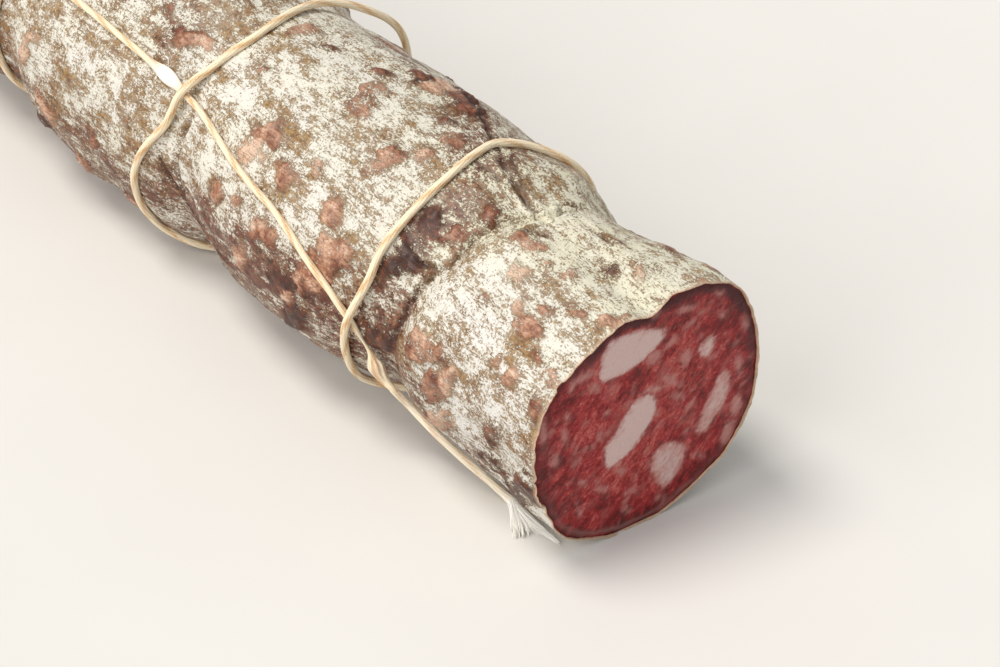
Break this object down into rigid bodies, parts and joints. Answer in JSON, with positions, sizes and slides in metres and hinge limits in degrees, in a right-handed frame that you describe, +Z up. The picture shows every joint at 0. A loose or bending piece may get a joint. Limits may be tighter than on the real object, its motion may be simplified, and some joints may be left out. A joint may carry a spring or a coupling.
{
  "type": "cured salami",
  "caption": "Tied dry-cured salami lying on its side, cut straight across at one end, with a mould-dusted casing, twine rings and a frayed tail of twine.",
  "frame": {"origin": "middle of the overall box in plan, on the plane that the salami lies on", "axes": "+X along the salami towards the cut face, +Y to its far side, +Z up; the near side with the lengthwise twine and its tail faces -Y"},
  "size_m": [0.2857, 0.0797, 0.0728],
  "materials": {
    "casing": "dry wrinkled natural casing with a dusty white mould; dark reddish brown lumps show through it",
    "cut_meat": "moist cut face of the salami: deep red cured meat with pale pink lard",
    "twine": "waxed cream cotton butcher's twine",
    "frayed_twine": "loose white cotton fibres"
  },
  "bodies": {
    "root": {"salami": "casing", "twine_ring_front": "twine", "twine_ring_rear": "twine", "twine_ring_far": "twine", "twine_lengthwise": "twine", "twine_tail": "twine", "twine_frayed_end": "frayed_twine"}
  },
  "joints": []
}
